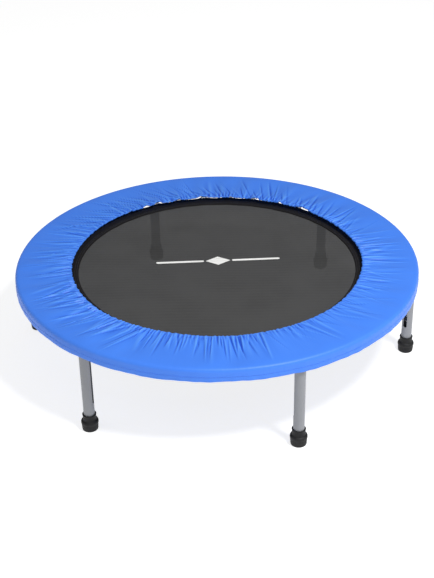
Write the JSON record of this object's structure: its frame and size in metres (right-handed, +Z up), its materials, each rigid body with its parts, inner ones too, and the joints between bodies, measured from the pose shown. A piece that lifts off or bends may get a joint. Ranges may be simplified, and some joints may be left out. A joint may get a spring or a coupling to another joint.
{
  "type": "mini trampoline",
  "caption": "Round mini trampoline: mesh mat hung by coil springs in a tube ring, gathered fabric cover over the springs, folding tube legs with rubber feet.",
  "frame": {"origin": "on the floor, under the centre of the ring", "axes": "+Z up; +Y points away from the front, so the front of the mat's print reads from -Y"},
  "size_m": [0.9599, 0.96, 0.228],
  "materials": {
    "frame_tube": "silver-grey powder coat, semi-gloss",
    "leg_tube": "silver-grey powder coat, semi-gloss",
    "bracket": "silver-grey powder coat over folded steel",
    "pin": "steel pin painted with the leg",
    "spring_wire": "bright zinc-plated spring wire",
    "loop_wire": "zinc-plated wire",
    "foot_rubber": "matt black moulded rubber",
    "mesh": "dark grey woven polypropylene mesh",
    "webbing": "black webbing band with stitching",
    "cover_fabric": "bright blue coated polyester, slight sheen",
    "elastic": "black flat elastic"
  },
  "bodies": {
    "frame": {"frame_ring": "frame_tube", "cover": "cover_fabric", "cover_inner_elastic": "elastic", "cover_outer_elastic": "elastic", "mat_springs": "spring_wire", "leg_bracket_1": "bracket", "leg_bracket_2": "bracket", "leg_bracket_3": "bracket", "leg_bracket_4": "bracket", "leg_bracket_5": "bracket", "leg_bracket_6": "bracket"},
    "mat": {"mat_mesh": "mesh", "mat_band": "webbing", "mat_loops": "loop_wire"},
    "leg_1": {"leg_tube_1": "leg_tube", "leg_foot_1": "foot_rubber", "leg_pivot_pin_1": "pin", "leg_anchor_pin_1": "pin", "leg_spring_1": "spring_wire"},
    "leg_2": {"leg_tube_2": "leg_tube", "leg_foot_2": "foot_rubber", "leg_pivot_pin_2": "pin", "leg_anchor_pin_2": "pin", "leg_spring_2": "spring_wire"},
    "leg_3": {"leg_tube_3": "leg_tube", "leg_foot_3": "foot_rubber", "leg_pivot_pin_3": "pin", "leg_anchor_pin_3": "pin", "leg_spring_3": "spring_wire"},
    "leg_4": {"leg_tube_4": "leg_tube", "leg_foot_4": "foot_rubber", "leg_pivot_pin_4": "pin", "leg_anchor_pin_4": "pin", "leg_spring_4": "spring_wire"},
    "leg_5": {"leg_tube_5": "leg_tube", "leg_foot_5": "foot_rubber", "leg_pivot_pin_5": "pin", "leg_anchor_pin_5": "pin", "leg_spring_5": "spring_wire"},
    "leg_6": {"leg_tube_6": "leg_tube", "leg_foot_6": "foot_rubber", "leg_pivot_pin_6": "pin", "leg_anchor_pin_6": "pin", "leg_spring_6": "spring_wire"}
  },
  "joints": [
    {"name": "mat_bounce", "type": "slide", "parent": "frame", "child": "mat", "axis": [0, 0, -1], "range_m": [0, 0.09], "stiffness_N_per_m": 14000, "springref_m": -0.002, "deforming": ["mat_springs"]},
    {"name": "leg_1_fold", "type": "hinge", "parent": "frame", "child": "leg_1", "pos_m": [-0.28697, -0.36207, 0.1745], "axis": [-0.1977, -0.9803, 0], "range_deg": [0, 90], "stiffness_Nm_per_rad": 0.3, "springref_deg": -57.3, "deforming": ["leg_spring_1"]},
    {"name": "leg_2_fold", "type": "hinge", "parent": "frame", "child": "leg_2", "pos_m": [0.17007, -0.42956, 0.1745], "axis": [0.0941, 0.9956, 0], "range_deg": [0, 90], "stiffness_Nm_per_rad": 0.3, "springref_deg": -57.3, "deforming": ["leg_spring_2"]},
    {"name": "leg_3_fold", "type": "hinge", "parent": "frame", "child": "leg_3", "pos_m": [0.45704, -0.06749, 0.1745], "axis": [-0.8151, 0.5793, 0], "range_deg": [0, 90], "stiffness_Nm_per_rad": 0.3, "springref_deg": -57.3, "deforming": ["leg_spring_3"]},
    {"name": "leg_4_fold", "type": "hinge", "parent": "frame", "child": "leg_4", "pos_m": [0.28697, 0.36207, 0.1745], "axis": [0.1977, 0.9803, 0], "range_deg": [0, 90], "stiffness_Nm_per_rad": 0.3, "springref_deg": -57.3, "deforming": ["leg_spring_4"]},
    {"name": "leg_5_fold", "type": "hinge", "parent": "frame", "child": "leg_5", "pos_m": [-0.17007, 0.42956, 0.1745], "axis": [-0.0941, -0.9956, 0], "range_deg": [0, 90], "stiffness_Nm_per_rad": 0.3, "springref_deg": -57.3, "deforming": ["leg_spring_5"]},
    {"name": "leg_6_fold", "type": "hinge", "parent": "frame", "child": "leg_6", "pos_m": [-0.45704, 0.06749, 0.1745], "axis": [0.8151, -0.5793, 0], "range_deg": [0, 90], "stiffness_Nm_per_rad": 0.3, "springref_deg": -57.3, "deforming": ["leg_spring_6"]}
  ]
}
